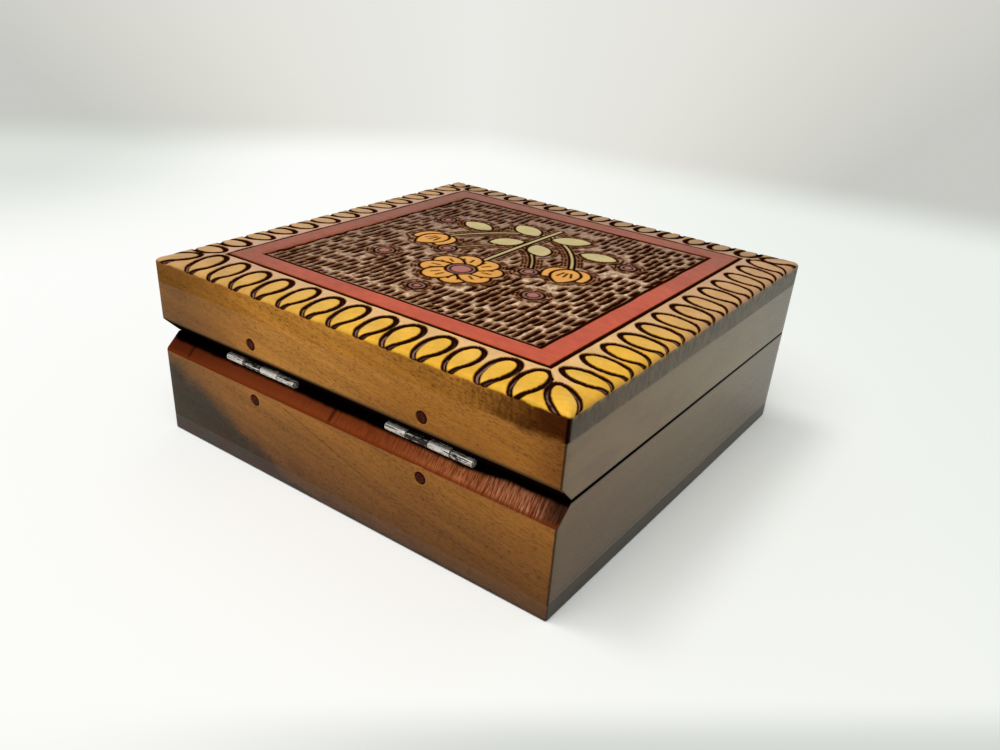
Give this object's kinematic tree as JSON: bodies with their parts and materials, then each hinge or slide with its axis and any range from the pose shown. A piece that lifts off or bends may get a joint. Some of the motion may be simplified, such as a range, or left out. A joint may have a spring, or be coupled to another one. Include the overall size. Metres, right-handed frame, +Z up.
{
  "type": "wooden trinket box",
  "caption": "Square wooden keepsake box with mitred walls, a thick round-edged lid board with carved ornament, and a lid that turns on pinned hinges in a groove at the back.",
  "frame": {"origin": "middle of the underside of the bottom board", "axes": "+Z up; the hinges are at the back, +Y, and the lid opens at the front, -Y; +X to the right seen from the front"},
  "size_m": [0.14, 0.14, 0.0569],
  "materials": {
    "wall_wood": "stained and varnished, satin",
    "board_wood": "stained and varnished, satin",
    "carved_wood": "carved, burnt, painted and varnished",
    "hinge_metal": "plated, scratched",
    "nail_metal": "stained dark with the wood"
  },
  "bodies": {
    "base": {"bottom_board": "board_wood", "base_front_wall": "wall_wood", "base_back_wall": "wall_wood", "base_left_wall": "wall_wood", "base_right_wall": "wall_wood", "left_hinge_base_leaf": "hinge_metal", "left_hinge_pin": "hinge_metal", "left_base_nail": "nail_metal", "right_hinge_base_leaf": "hinge_metal", "right_hinge_pin": "hinge_metal", "right_base_nail": "nail_metal"},
    "lid": {"lid_top_board": "carved_wood", "lid_front_wall": "wall_wood", "lid_back_wall": "wall_wood", "lid_left_wall": "wall_wood", "lid_right_wall": "wall_wood", "left_hinge_lid_leaf": "hinge_metal", "left_lid_nail": "nail_metal", "right_hinge_lid_leaf": "hinge_metal", "right_lid_nail": "nail_metal"}
  },
  "joints": [
    {"name": "lid_hinge", "type": "hinge", "parent": "base", "child": "lid", "pos_m": [0, 0.0666, 0.0317], "axis": [-1, 0, 0], "range_deg": [0, 110]}
  ]
}
